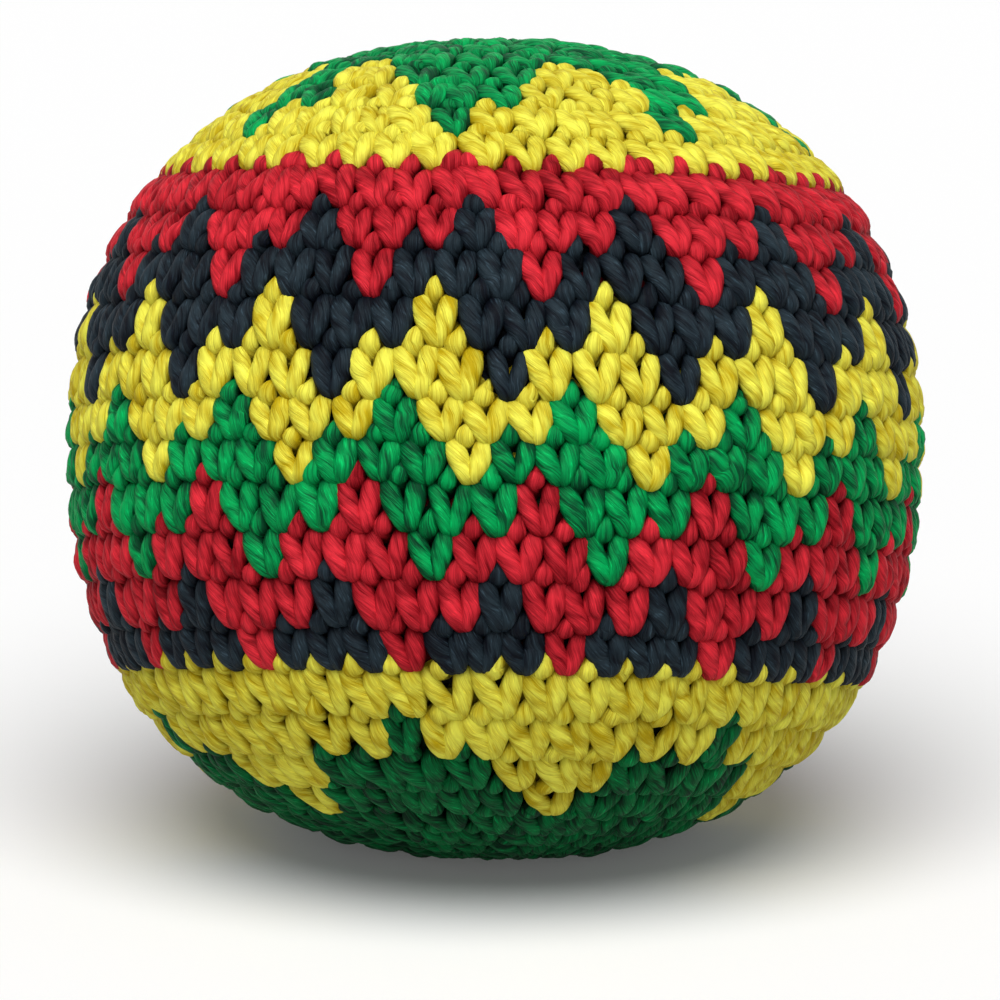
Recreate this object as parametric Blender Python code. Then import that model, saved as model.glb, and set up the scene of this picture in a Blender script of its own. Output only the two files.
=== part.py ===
# Crocheted footbag in metres, +Z up, resting on its flattened foot.
# Ten colour zones of single crochet are worked in rounds about a tied cloth pouch of pellets.
# The crochet axis leans back from +Z, as the bag lies when it is put down.

import math

import bmesh
import bpy
import numpy as np
from mathutils import Matrix, Vector

# Ball: its width, and the reach of its two halves along the crochet axis
ball_width = 0.0517
crown_rise = 0.02465
base_drop = 0.0249
crown_fullness = 2.24  # exponents of the outline, where 2 is an ellipse
base_fullness = 2.3
backward_lean = math.radians(15.4)
sideways_lean = math.radians(1.3)
foot_depth = 0.0009  # how far the resting face is pressed in

# Crocheted cover
cover_thickness = 0.0018
stitch_bulge = 0.00035
piece_gap = 0.0003
pole_opening = 0.0016  # radius of the hole at each pole
belt_round_height = 0.0029
belt_height_shares = [0.93, 1.09, 0.99, 1.04, 0.86, 0.84, 1.05, 1.07, 1.09, 0.96, 1.08]
belt_drop = 0.0148  # length of the cover from the belt's lower edge up to the widest round
base_growth = 1.25  # exponent: above 1, the rounds grow taller from the bottom pole to the belt

# Counts of stitches, from the bottom pole upwards
repeats_round_base = 6
base_rounds = 9
base_counts = [repeats_round_base * turn for turn in range(1, base_rounds + 1)]
belt_rounds = 11
belt_stitches = 60
belt_counts = [belt_stitches] * belt_rounds
repeats_round_crown = 8
crown_counts = [48, 48, 40, 32, 26, 20, 14, 8]

# Places of the stitches, as angles round the axis from the front towards +X
stitch_lean_share = 0.398  # of a stitch's width, from its foot to its head
crown_lean_share = 0.39
belt_start_angle = math.radians(-7.05)
base_motif_turn = 6
base_motif_angle = math.radians(14.0)
base_motif_drift = math.radians(0.3)
crown_start_angles = [math.radians(a) for a in (3.6, -9.0, -8.2, -8.6, -6.0, -4.0, -2.0, 0.0)]
merge_share = 0.1  # of a stitch's width, between corners that become one

# Black yarn carried behind the red stitches, from one black patch to the next
carried_depth = 0.0012
carried_thickness = 0.0004
carried_width = 0.001

# Colour chart
belt_zones = ["lower_zone_black", "lower_zone_red", "middle_zone_green"]
belt_zones += ["middle_zone_yellow", "upper_zone_black", "upper_zone_red"]
belt_repeat = 4
old_stitch = 1  # of the repeat, that keeps the old colour in the second round of a change
new_stitch = 3  # of the repeat, that brings the new colour in its first round
yellow_reach = {6: 0, 7: 1, 8: 3, 9: 9}  # stitches to each side of a base motif, by round
green_runs = {1: 1, 2: 2, 3: 2}  # green stitches in each crown repeat, by round past the belt
early_greens = {2: [39], 3: [31]}  # stitches that change colour before their turn
late_yellows = {3: [29]}

# Loops of yarn that open and close the cover
loop_yarn = 0.0009
tail_yarn = 0.0009
tail_curl_radius = 0.0085
tail_curl_turn = math.radians(200)
tail_lead_share = 0.4  # of the tail, before it lies on its circle
tail_drop_share = 0.08  # of the tail, before it has left the hole

# Pouch: its gathered neck is measured down from the inside of the cover's top
liner_wall = 0.0004
shoulder_radius = 0.012
shoulder_slope_radius = 0.007
neck_base_radius = 0.0024
waist_radius = 0.0015
frill_radius = 0.0026
shoulder_slope_drop = 0.0038
neck_base_drop = 0.0056
waist_low_drop = 0.0046
waist_high_drop = 0.0038
frill_drop = 0.0021
tie_thread = 0.0008

# Fill: loose pellets as one body, whose outer layer shows
pellet_width = 0.006
pellet_bulge = 0.0009
fill_gap = 0.0006
fewest_pellets = 5  # in the round at each pole

# Facets
outline_steps = 900
liner_sides = 30
liner_rings = 11
loop_sides = 18
yarn_sides = 6
tail_points = 40

# Places that several pieces share
inner_top = crown_rise - cover_thickness
liner_depth = cover_thickness + piece_gap
fill_depth = liner_depth + liner_wall + fill_gap
loop_radius = pole_opening - piece_gap - loop_yarn / 2

colours = {
    "green": (0.0, 0.25, 0.065, 1.0),
    "yellow": (0.8, 0.75, 0.06, 1.0),
    "red": (0.52, 0.015, 0.027, 1.0),
    "black": (0.009, 0.016, 0.022, 1.0),
    "liner": (0.05, 0.05, 0.055, 1.0),
    "thread": (0.75, 0.73, 0.68, 1.0),
    "pellets": (0.78, 0.78, 0.76, 1.0),
}
roughness = {"pellets": 0.45, "thread": 0.7, "liner": 0.9}
yarn_roughness = 0.6


def clear_scene():
    for item in list(bpy.data.objects):
        bpy.data.objects.remove(item, do_unlink=True)


def half_outline(rise, fullness, sign):
    turn = np.linspace(0.0, math.pi / 2, outline_steps)
    power = 2.0 / fullness
    radius = ball_width / 2 * np.sin(turn) ** power
    height = sign * rise * np.cos(turn) ** power
    return radius, height


def full_outline():
    """Radius, height and length along the outline from the bottom pole to the top one."""
    low_radius, low_height = half_outline(base_drop, base_fullness, -1.0)
    high_radius, high_height = half_outline(crown_rise, crown_fullness, 1.0)
    radius = np.concatenate([low_radius, high_radius[::-1][1:]])
    height = np.concatenate([low_height, high_height[::-1][1:]])
    length = np.concatenate([[0.0], np.cumsum(np.hypot(np.diff(radius), np.diff(height)))])
    return radius, height, length


outline_radius, outline_height, outline_length = full_outline()
outline_out = np.gradient(outline_height, outline_length)
outline_up = -np.gradient(outline_radius, outline_length)
widest_length = outline_length[outline_steps - 1]
whole_length = outline_length[-1]

lean = Matrix.Rotation(sideways_lean, 3, "Y") @ Matrix.Rotation(-backward_lean, 3, "X")


def reach(direction):
    """Lowest and highest place of the leaning ball along a direction."""
    own = lean.transposed() @ direction
    across = math.hypot(own.x, own.y)
    low = outline_height * own.z - outline_radius * across
    high = outline_height * own.z + outline_radius * across
    return float(low.min()), float(high.max())


foot_plane = reach(Vector((0, 0, 1)))[0] + foot_depth
ball_middle = [sum(reach(Vector(axis))) / 2 for axis in ((1, 0, 0), (0, 1, 0))]


def leaned(radius, angle, height):
    own = Vector((radius * math.sin(angle), -radius * math.cos(angle), height))
    return lean @ own


def under_outline(length, depth):
    """Radius and height at a depth under the ball's outline."""
    radius = np.interp(length, outline_length, outline_radius)
    height = np.interp(length, outline_length, outline_height)
    out = np.interp(length, outline_length, outline_out)
    up = np.interp(length, outline_length, outline_up)
    slant = math.hypot(out, up)
    return max(radius - depth * out / slant, 0.0), height - depth * up / slant


def cover_point(angle, length, depth, floor_rise):
    """Point at a depth under the ball's outline, kept above the resting face."""
    radius, height = under_outline(length, depth)
    point = leaned(radius, angle, height)
    point.z = max(point.z, foot_plane + floor_rise)
    return point


# Rounds of stitches


def belt_zone(row, stitch):
    change = row // 2
    old = belt_zones[change]
    new = belt_zones[min(change + 1, len(belt_zones) - 1)]
    place = stitch % belt_repeat
    if row % 2 == 0:
        return new if place == new_stitch else old
    return old if place == old_stitch else new


def base_zone(turn, stitch):
    repeat = base_counts[turn - 1] // repeats_round_base
    place = stitch % repeat
    away = min(place, repeat - place)
    yellow = turn in yellow_reach and away <= yellow_reach[turn]
    return "lower_band_yellow" if yellow else "bottom_crown_green"


def crown_zone(row, stitch):
    if row == 0:
        return "upper_band_yellow"
    if row not in green_runs or stitch in early_greens.get(row, []):
        return "top_crown_green"
    if stitch in late_yellows.get(row, []):
        return "upper_band_yellow"
    place = stitch % (crown_counts[row] // repeats_round_crown)
    return "top_crown_green" if place < green_runs[row] else "upper_band_yellow"


def make_round(count, start, zones, lean_share=stitch_lean_share):
    width = 2 * math.pi / count
    return {"count": count, "start": start, "width": width, "lean": lean_share, "zones": zones}


def all_rounds():
    rounds = []
    for turn, count in enumerate(base_counts, start=1):
        start = base_motif_angle + base_motif_drift * (turn - base_motif_turn)
        zones = [base_zone(turn, stitch) for stitch in range(count)]
        rounds.append(make_round(count, start, zones))
    for row, count in enumerate(belt_counts):
        start = belt_start_angle + row * stitch_lean_share * 2 * math.pi / count
        zones = [belt_zone(row, stitch) for stitch in range(count)]
        rounds.append(make_round(count, start, zones))
    for row, count in enumerate(crown_counts):
        zones = [crown_zone(row, stitch) for stitch in range(count)]
        rounds.append(make_round(count, crown_start_angles[row], zones, crown_lean_share))
    return rounds


def round_edges():
    """Lengths along the outline at which the rounds meet, bottom to top."""
    belt_low = widest_length - belt_drop
    belt_edges = belt_low + belt_round_height * np.cumsum(belt_height_shares)
    base_shares = np.linspace(0.0, 1.0, base_rounds + 1) ** base_growth
    crown_high = whole_length - pole_opening
    edges = list(pole_opening + (belt_low - pole_opening) * base_shares)
    edges += list(belt_edges[:-1])
    edges += list(np.linspace(belt_edges[-1], crown_high, len(crown_counts) + 1))
    return edges


def stitch_side(ring, stitch, top):
    """Angle of a stitch's left side, at its foot or at its head."""
    shift = ring["lean"] * ring["width"] if top else 0.0
    return ring["start"] + (stitch - 0.5) * ring["width"] + shift


def corner_turn(angle, start):
    """Turn from one angle to another, the shorter way round."""
    return (angle - start + math.pi) % (2 * math.pi) - math.pi


def nearest(angles, angle):
    away = [abs(corner_turn(a, angle)) for a in angles]
    return min(range(len(angles)), key=away.__getitem__), min(away)


def edge_angles(below, above):
    """Angles of the corners on the edge between two rounds, once round the ball."""
    angles = []
    for ring, top in ((above, False), (below, True)):
        if ring is None:
            continue
        sides = [stitch_side(ring, stitch, top) for stitch in range(ring["count"])]
        if above is None or below is None:
            sides += [side + ring["width"] / 2 for side in sides]
        for side in sides:
            if not angles or nearest(angles, side)[1] > merge_share * ring["width"]:
                angles.append(side % (2 * math.pi))
    return sorted(angles)


def corners_between(edge, angles, left, right):
    first = nearest(angles, left)[0]
    last = nearest(angles, right)[0]
    corners = [(edge, first)]
    while corners[-1][1] != last:
        corners.append((edge, (corners[-1][1] + 1) % len(angles)))
    return corners


def chart_cells(rounds, edges):
    """Every stitch as the loop of its corners, gathered by zone."""
    angles = []
    for edge in range(len(edges)):
        below = rounds[edge - 1] if edge > 0 else None
        above = rounds[edge] if edge < len(rounds) else None
        angles.append(edge_angles(below, above))
    zones = {}
    for row, ring in enumerate(rounds):
        for stitch in range(ring["count"]):
            foot = [stitch_side(ring, stitch + side, False) for side in (0, 1)]
            head = [stitch_side(ring, stitch + side, True) for side in (0, 1)]
            cell = corners_between(row, angles[row], *foot)
            cell += corners_between(row + 1, angles[row + 1], *head)[::-1]
            zones.setdefault(ring["zones"][stitch], []).append(cell)
    return zones, angles


def cell_middle(places):
    """Angle and length of the middle of a cell, from those of its corners."""
    start = places[0][0]
    turns = [corner_turn(angle, start) for angle, length in places]
    middle = sum(length for angle, length in places) / len(places)
    return start + (min(turns) + max(turns)) / 2, middle


def flat_step(here, there):
    """Step from one corner to another, unrolled: along the round and up the outline."""
    turn = corner_turn(there[0], here[0])
    middle = (here[1] + there[1]) / 2
    radius = np.interp(middle, outline_length, outline_radius)
    step = Vector((turn * radius, there[1] - here[1]))
    return step.normalized()


def drawn_in(place, before, after):
    """A corner of a zone's border, drawn in by half the gap to its neighbour."""
    sides = []
    for here, there in ((before, place), (place, after)):
        along = flat_step(here, there)
        sides.append(Vector((-along.y, along.x)))
    shift = (sides[0] + sides[1]) / (1 + sides[0].dot(sides[1])) * piece_gap / 2
    radius = np.interp(place[1], outline_length, outline_radius)
    return place[0] + shift.x / radius, place[1] + shift.y


def zone_border(cells):
    """Sides of the zone's stitches that no other stitch of the zone shares."""
    sides = {(cell[i - 1], cell[i]) for cell in cells for i in range(len(cell))}
    return sorted(side for side in sides if (side[1], side[0]) not in sides)


def build_zone(name, cells, edges, angles, thin_corners):
    """One colour zone, thinner at the corners where another colour is carried behind it."""
    place = {}
    for cell in cells:
        for edge, index in cell:
            place[edge, index] = (angles[edge][index], edges[edge])
    border = zone_border(cells)
    after = dict(border)
    before = {there: here for here, there in border}
    moved = dict(place)
    for corner in after:
        moved[corner] = drawn_in(place[corner], place[before[corner]], place[after[corner]])
    mesh = bmesh.new()
    outer = {}
    inner = {}
    for corner in sorted(moved):
        angle, length = moved[corner]
        outer[corner] = mesh.verts.new(cover_point(angle, length, stitch_bulge, 0.0))
        depth = carried_depth - piece_gap if corner in thin_corners else cover_thickness
        inner[corner] = mesh.verts.new(cover_point(angle, length, depth, depth))
    for cell in cells:
        angle, length = cell_middle([moved[corner] for corner in cell])
        peak = mesh.verts.new(cover_point(angle, length, 0.0, 0.0))
        for i in range(len(cell)):
            mesh.faces.new((outer[cell[i - 1]], outer[cell[i]], peak))
        mesh.faces.new([inner[corner] for corner in reversed(cell)])
    for here, there in border:
        mesh.faces.new((outer[there], outer[here], inner[here], inner[there]))
    bmesh.ops.triangulate(mesh, faces=[face for face in mesh.faces if len(face.verts) > 3])
    return finish_mesh(name, mesh, name.rsplit("_", 1)[1])


# Objects


def make_material(name, colour):
    material = bpy.data.materials.new(name)
    material.use_nodes = True
    shader = material.node_tree.nodes["Principled BSDF"]
    shader.inputs["Base Color"].default_value = colours[colour]
    shader.inputs["Roughness"].default_value = roughness.get(colour, yarn_roughness)
    shader.inputs["Metallic"].default_value = 0.0
    material.diffuse_color = colours[colour]
    return material


def finish_mesh(name, mesh, colour):
    data = bpy.data.meshes.new(name)
    mesh.to_mesh(data)
    mesh.free()
    return add_object(name, data, colour)


def add_object(name, data, colour):
    item = bpy.data.objects.new(name, data)
    data.materials.append(make_material(name, colour))
    bpy.context.collection.objects.link(item)
    item.parent = ball_base
    return item


def join_rings(mesh, rings):
    """Faces between rings of points, round to the first ring again."""
    for here, there in zip(rings, rings[1:] + rings[:1]):
        for step in range(len(here)):
            after = (step + 1) % len(here)
            mesh.faces.new((here[step], there[step], there[after], here[after]))


def torus(name, height, ring_radius, thickness, colour):
    """Closed ring of yarn about the crochet axis."""
    mesh = bmesh.new()
    rings = []
    for side in range(loop_sides):
        angle = 2 * math.pi * side / loop_sides
        ring = []
        for step in range(yarn_sides):
            turn = 2 * math.pi * step / yarn_sides
            radius = ring_radius + thickness / 2 * math.cos(turn)
            rise = height + thickness / 2 * math.sin(turn)
            ring.append(mesh.verts.new(leaned(radius, angle, rise)))
        rings.append(ring)
    join_rings(mesh, rings)
    item = finish_mesh(name, mesh, colour)
    item.data.shade_smooth()
    return item


def pouch_outline():
    """Radius and height of the pouch's rings from its shoulder up over its neck."""
    high = outline_length > widest_length
    length = np.interp(-shoulder_radius, -outline_radius[high], outline_length[high])
    neck = [
        under_outline(length, liner_depth),
        (shoulder_slope_radius, inner_top - shoulder_slope_drop),
        (neck_base_radius, inner_top - neck_base_drop),
        (waist_radius, inner_top - waist_low_drop),
        (waist_radius, inner_top - waist_high_drop),
        (frill_radius, inner_top - frill_drop),
    ]
    return length, neck


def build_liner():
    """Cloth pouch that fills the cover, open only through its gathered neck."""
    shoulder_length, neck = pouch_outline()
    turns = [2 * math.pi * side / liner_sides for side in range(liner_sides)]
    mesh = bmesh.new()
    rings = []
    for step in range(1, liner_rings + 1):
        length = shoulder_length * step / liner_rings
        points = [cover_point(angle, length, liner_depth, liner_depth) for angle in turns]
        rings.append([mesh.verts.new(point) for point in points])
    for radius, height in neck[1:]:
        rings.append([mesh.verts.new(leaned(radius, angle, height)) for angle in turns])
    bottom = mesh.verts.new(cover_point(0.0, 0.0, liner_depth, liner_depth))
    for side in range(liner_sides):
        after = (side + 1) % liner_sides
        mesh.faces.new((bottom, rings[0][after], rings[0][side]))
        for low, high in zip(rings, rings[1:]):
            mesh.faces.new((low[side], low[after], high[after], high[side]))
    bmesh.ops.recalc_face_normals(mesh, faces=mesh.faces)
    item = finish_mesh("liner_pouch", mesh, "liner")
    cloth = item.modifiers.new("cloth", "SOLIDIFY")
    cloth.thickness = liner_wall
    cloth.offset = -1.0
    cloth.use_even_offset = True
    item.data.shade_smooth()
    return item


def build_tie():
    middle = inner_top - (waist_low_drop + waist_high_drop) / 2
    radius = waist_radius + piece_gap + tie_thread / 2
    return torus("liner_tie", middle, radius, tie_thread, "thread")


def build_loops():
    """Start ring of the first round, and the loop that draws the last round shut."""
    low = -base_drop + cover_thickness / 2
    high = crown_rise - cover_thickness / 2
    torus("start_loop", low, loop_radius, loop_yarn, "green")
    torus("closing_loop", high, loop_radius, loop_yarn, "green")


def eased(share):
    """Smooth rise from 0 to 1."""
    share = min(1.0, max(0.0, share))
    return share * share * (3 - 2 * share)


def tail_route():
    """From under the closing loop, out beside the neck and round on the pouch's shoulder."""
    shoulder, slope_foot = pouch_outline()[1][:2]
    run = shoulder[0] - slope_foot[0]
    rise = shoulder[1] - slope_foot[1]
    pouch_top = slope_foot[1] + rise * (tail_curl_radius - slope_foot[0]) / run
    clearance = piece_gap + tail_yarn / 2
    on_pouch = pouch_top + clearance * math.hypot(run, rise) / run
    over_neck = inner_top - clearance
    under_loop = crown_rise - (cover_thickness + loop_yarn) / 2 - piece_gap
    points = []
    for step in range(tail_points):
        share = step / (tail_points - 1)
        out = eased(share / tail_lead_share)
        sunk = eased(share / tail_drop_share)
        laid = eased((share - tail_drop_share) / (tail_lead_share - tail_drop_share))
        radius = loop_radius + (tail_curl_radius - loop_radius) * out
        height = under_loop + (over_neck - under_loop) * sunk + (on_pouch - over_neck) * laid
        angle = tail_curl_turn * max(0.0, share - tail_drop_share)
        points.append(leaned(radius, angle, height))
    return points


def build_tail():
    data = bpy.data.curves.new("closing_tail", "CURVE")
    data.dimensions = "3D"
    data.bevel_depth = tail_yarn / 2
    data.bevel_resolution = 1
    data.use_fill_caps = True
    points = tail_route()
    line = data.splines.new("POLY")
    line.points.add(len(points) - 1)
    for spot, point in zip(line.points, points):
        spot.co = (*point, 1.0)
    return add_object("closing_tail", data, "green")


def build_carried_strand(length):
    """Flat ring of yarn inside the cover, half way up the round that it is carried in."""
    corners = [
        (carried_depth, -carried_width / 2),
        (carried_depth, carried_width / 2),
        (carried_depth + carried_thickness, carried_width / 2),
        (carried_depth + carried_thickness, -carried_width / 2),
    ]
    mesh = bmesh.new()
    rings = []
    for side in range(belt_stitches):
        angle = 2 * math.pi * side / belt_stitches
        points = [cover_point(angle, length + rise, depth, 0.0) for depth, rise in corners]
        rings.append([mesh.verts.new(point) for point in points])
    join_rings(mesh, rings)
    bmesh.ops.recalc_face_normals(mesh, faces=mesh.faces)
    return finish_mesh("carried_strand", mesh, "black")


def join_strand(patches, strand):
    """Makes the patches and the strand that runs between them one body."""
    union = patches.modifiers.new("carried strand", "BOOLEAN")
    union.operation = "UNION"
    union.object = strand
    strand.hide_render = True
    strand.display_type = "WIRE"


def fill_point(angle, length, depth):
    """Point on the fill, kept under the pouch's neck and over its floor."""
    radius, height = under_outline(length, fill_depth + depth)
    ceiling = inner_top - neck_base_drop - liner_wall - fill_gap - depth
    point = leaned(radius, angle, min(height, ceiling))
    point.z = max(point.z, foot_plane + fill_depth + depth)
    return point


def build_fill():
    """Pellets in rounds, each a raised cell of the fill's surface."""
    pole = pellet_width / 2
    count = round((whole_length - 2 * pole) / pellet_width)
    lengths = list(np.linspace(pole, whole_length - pole, count + 1))
    layers = []
    for low, high in zip(lengths, lengths[1:]):
        radius = np.interp((low + high) / 2, outline_length, outline_radius)
        pellets = max(fewest_pellets, round(2 * math.pi * radius / pellet_width))
        layers.append(make_round(pellets, 0.0, ["pellet_fill"] * pellets))
    zones, angles = chart_cells(layers, lengths)
    mesh = bmesh.new()
    corners = {}
    for edge, length in enumerate(lengths):
        for index, angle in enumerate(angles[edge]):
            point = fill_point(angle, length, pellet_bulge)
            corners[edge, index] = mesh.verts.new(point)
    for cell in zones["pellet_fill"]:
        angle, length = cell_middle([(angles[edge][index], lengths[edge]) for edge, index in cell])
        peak = mesh.verts.new(fill_point(angle, length, 0.0))
        for i in range(len(cell)):
            mesh.faces.new((corners[cell[i - 1]], corners[cell[i]], peak))
    last = len(lengths) - 1
    for edge in (0, last):
        ring = [corners[edge, index] for index in range(len(angles[edge]))]
        mesh.faces.new(ring if edge == last else ring[::-1])
    bmesh.ops.triangulate(mesh, faces=[face for face in mesh.faces if len(face.verts) > 3])
    return finish_mesh("pellet_fill", mesh, "pellets")


clear_scene()
ball_base = bpy.data.objects.new("ball_base", None)
bpy.context.collection.objects.link(ball_base)
ball_base.location = (-ball_middle[0], -ball_middle[1], -foot_plane)

rounds = all_rounds()
edges = round_edges()
zone_cells, corner_angles = chart_cells(rounds, edges)
early_red = [cell for cell in zone_cells["lower_zone_red"] if cell[0][0] == base_rounds]
thin_corners = {corner for cell in early_red for corner in cell}
for zone_name, zone_parts in zone_cells.items():
    thin = thin_corners if zone_name == "lower_zone_red" else set()
    zone = build_zone(zone_name, zone_parts, edges, corner_angles, thin)
    if zone_name == "lower_zone_black":
        middle = (edges[base_rounds] + edges[base_rounds + 1]) / 2
        join_strand(zone, build_carried_strand(middle))
build_loops()
build_tail()
build_liner()
build_tie()
build_fill()
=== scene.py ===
import math
from functools import partial

import bmesh
import bpy
import numpy as np
from mathutils import Euler, Matrix, Vector


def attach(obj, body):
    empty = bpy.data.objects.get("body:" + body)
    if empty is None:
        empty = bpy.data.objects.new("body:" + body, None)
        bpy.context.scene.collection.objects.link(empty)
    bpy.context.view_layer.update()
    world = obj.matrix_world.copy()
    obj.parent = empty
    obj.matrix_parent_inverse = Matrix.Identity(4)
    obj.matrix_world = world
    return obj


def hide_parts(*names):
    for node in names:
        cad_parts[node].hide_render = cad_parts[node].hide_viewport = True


# Looks of a crocheted footbag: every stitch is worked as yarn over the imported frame.

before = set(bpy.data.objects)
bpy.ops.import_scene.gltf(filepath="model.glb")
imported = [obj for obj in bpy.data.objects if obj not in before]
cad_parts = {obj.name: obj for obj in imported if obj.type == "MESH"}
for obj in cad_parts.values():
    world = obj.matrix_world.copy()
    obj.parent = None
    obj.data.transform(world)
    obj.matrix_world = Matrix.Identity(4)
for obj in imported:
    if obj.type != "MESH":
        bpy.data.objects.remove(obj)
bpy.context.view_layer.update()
dice = np.random.default_rng(11)
millimetre = 0.001
middleTone = 0.5  # neither lighter nor darker than its material

ball = {
    "width": 0.0517,
    "crownRise": 0.02465,
    "baseDrop": 0.0249,
    "crownFullness": 2.24,  # 2 is an ellipse
    "baseFullness": 2.3,
    "backwardLean": math.radians(15.4),
    "sidewaysLean": math.radians(1.3),
    "footDepth": 0.0009,  # that the bag loses where it rests
    "softFloor": 0.0006,  # yarn lower than this is squeezed together
    "fill": 0.85,  # 1 is stuffed hard
    "outlineSteps": 900,
}


def halfOutline(rise, fullness, sign):
    turn = np.linspace(0, math.pi / 2, ball["outlineSteps"])
    radius = ball["width"] / 2 * np.sin(turn) ** (2 / fullness)
    return radius, sign * rise * np.cos(turn) ** (2 / fullness)


def ballOutline():
    # from the bottom pole to the top one, with the direction that faces out at each point
    lowRadius, lowHeight = halfOutline(ball["baseDrop"], ball["baseFullness"], -1)
    highRadius, highHeight = halfOutline(ball["crownRise"], ball["crownFullness"], 1)
    radius = np.concatenate([lowRadius, highRadius[::-1][1:]])
    height = np.concatenate([lowHeight, highHeight[::-1][1:]])
    length = np.concatenate([[0], np.cumsum(np.hypot(np.diff(radius), np.diff(height)))])
    out = np.gradient(height, length)
    up = -np.gradient(radius, length)
    slant = np.hypot(out, up)
    return {"radius": radius, "height": height, "length": length, "out": out / slant, "up": up / slant}


outline = ballOutline()
wholeLength = outline["length"][-1]
widestLength = outline["length"][ball["outlineSteps"] - 1]
lean = Matrix.Rotation(ball["sidewaysLean"], 3, "Y") @ Matrix.Rotation(-ball["backwardLean"], 3, "X")
leanRows = np.array(lean)


def ballReach(direction):
    own = lean.transposed() @ Vector(direction)
    across = math.hypot(own.x, own.y)
    low = outline["height"] * own.z - outline["radius"] * across
    high = outline["height"] * own.z + outline["radius"] * across
    return low.min(), high.max()


ballMiddle = np.array([
    -sum(ballReach((1, 0, 0))) / 2,
    -sum(ballReach((0, 1, 0))) / 2,
    -ballReach((0, 0, 1))[0] - ball["footDepth"],
])


def fromAxis(radius, angle, height):
    # from the ball's own axis into the frame; angle 0 faces -Y
    own = np.stack([radius * np.sin(angle), -radius * np.cos(angle), height + 0 * angle], -1)
    return own @ leanRows.T + ballMiddle


def pressOnFloor(points, rise=0):
    soft = ball["softFloor"]
    over = points[..., 2] - rise
    squeezed = soft * np.exp((np.minimum(over, soft) - soft) / soft)
    points[..., 2] = rise + np.where(over < soft, squeezed, over)
    return points


def underOutline(length, depth):
    known = outline["length"]
    radius = np.interp(length, known, outline["radius"])
    height = np.interp(length, known, outline["height"])
    out = np.interp(length, known, outline["out"])
    up = np.interp(length, known, outline["up"])
    return np.maximum(radius - depth * out, 0), height - depth * up


def onBall(angle, length, depth):
    radius, height = underOutline(length, depth)
    return pressOnFloor(fromAxis(radius, angle, height))


def outwards(angle, length):
    out = np.interp(length, outline["length"], outline["out"])
    up = np.interp(length, outline["length"], outline["up"])
    own = np.stack([out * np.sin(angle), -out * np.cos(angle), up], -1)
    return own @ leanRows.T


# Rounds and their colour chart

chart = {
    "poleOpening": 0.0016,
    "beltRoundHeight": 0.0029,
    "beltHeightShares": [0.93, 1.09, 0.99, 1.04, 0.86, 0.84, 1.05, 1.07, 1.09, 0.96, 1.08],
    "beltDrop": 0.0148,
    "baseGrowth": 1.25,  # above 1, rounds grow taller from the pole to the belt
    "stitchLean": 0.398,  # of a stitch's width, from its foot to the next one's
    "crownLean": 0.39,
    "baseRelief": 0.62,  # how far stitches stand out
    "beltRelief": 1,
    "crownRelief": 0.45,
    "skipShare": 0.3,  # of a stitch's width, from its foot to the hole that it looks for
    "holePull": 0.35,  # of the way from an even place to that hole
    "loopSpacing": 0.28,  # of a gap, between top loops that share it
    "baseRepeats": 6,
    "baseRounds": 9,
    "beltRounds": 11,
    "beltStitches": 60,
    "crownRepeats": 8,
    "crownCounts": [48, 48, 40, 32, 26, 20, 14, 8],
    "beltStart": math.radians(-7.05),
    "baseMotifTurn": 6,
    "baseMotifAngle": math.radians(14.0),
    "baseMotifDrift": math.radians(0.3),
    "crownStarts": [math.radians(a) for a in (3.6, -9.0, -8.2, -8.6, -6.0, -4.0, -2.0, 0.0)],
    "beltZones": ["lower_zone_black", "lower_zone_red", "middle_zone_green",
                  "middle_zone_yellow", "upper_zone_black", "upper_zone_red"],
    "beltRepeat": 4,
    "oldStitch": 1,  # keeps the old colour in the second round of a change
    "newStitch": 3,  # brings the new colour in the first
    "yellowReach": {6: 0, 7: 1, 8: 3, 9: 9},  # to each side of a base motif, by round
    "greenRuns": {1: 1, 2: 2, 3: 2},  # in each crown repeat, by round past the belt
    "earlyGreens": {2: [39], 3: [31]},  # stitches that change colour before their turn
    "lateYellows": {3: [29]},  # and after it
}


def beltZone(row, stitch):
    zones = chart["beltZones"]
    old = zones[row // 2]
    new = zones[min(row // 2 + 1, len(zones) - 1)]
    place = stitch % chart["beltRepeat"]
    if row % 2 == 0:
        return new if place == chart["newStitch"] else old
    return old if place == chart["oldStitch"] else new


def baseZone(turn, stitch):
    place = stitch % turn
    away = min(place, turn - place)
    yellow = away <= chart["yellowReach"].get(turn, -1)
    return "lower_band_yellow" if yellow else "bottom_crown_green"


def crownZone(row, stitch):
    if row == 0:
        return "upper_band_yellow"
    if row not in chart["greenRuns"] or stitch in chart["earlyGreens"].get(row, []):
        return "top_crown_green"
    if stitch in chart["lateYellows"].get(row, []):
        return "upper_band_yellow"
    place = stitch % (chart["crownCounts"][row] // chart["crownRepeats"])
    return "top_crown_green" if place < chart["greenRuns"][row] else "upper_band_yellow"


def baseRound(turn):
    start = chart["baseMotifAngle"] + chart["baseMotifDrift"] * (turn - chart["baseMotifTurn"])
    zones = [baseZone(turn, stitch) for stitch in range(chart["baseRepeats"] * turn)]
    return {"start": start, "zones": zones, "lean": chart["stitchLean"], "relief": chart["baseRelief"]}


def beltRound(row):
    start = chart["beltStart"] + row * chart["stitchLean"] * 2 * math.pi / chart["beltStitches"]
    zones = [beltZone(row, stitch) for stitch in range(chart["beltStitches"])]
    return {"start": start, "zones": zones, "lean": chart["stitchLean"], "relief": chart["beltRelief"]}


def crownRound(row):
    start = chart["crownStarts"][row]
    zones = [crownZone(row, stitch) for stitch in range(chart["crownCounts"][row])]
    return {"start": start, "zones": zones, "lean": chart["crownLean"], "relief": chart["crownRelief"]}


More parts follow.
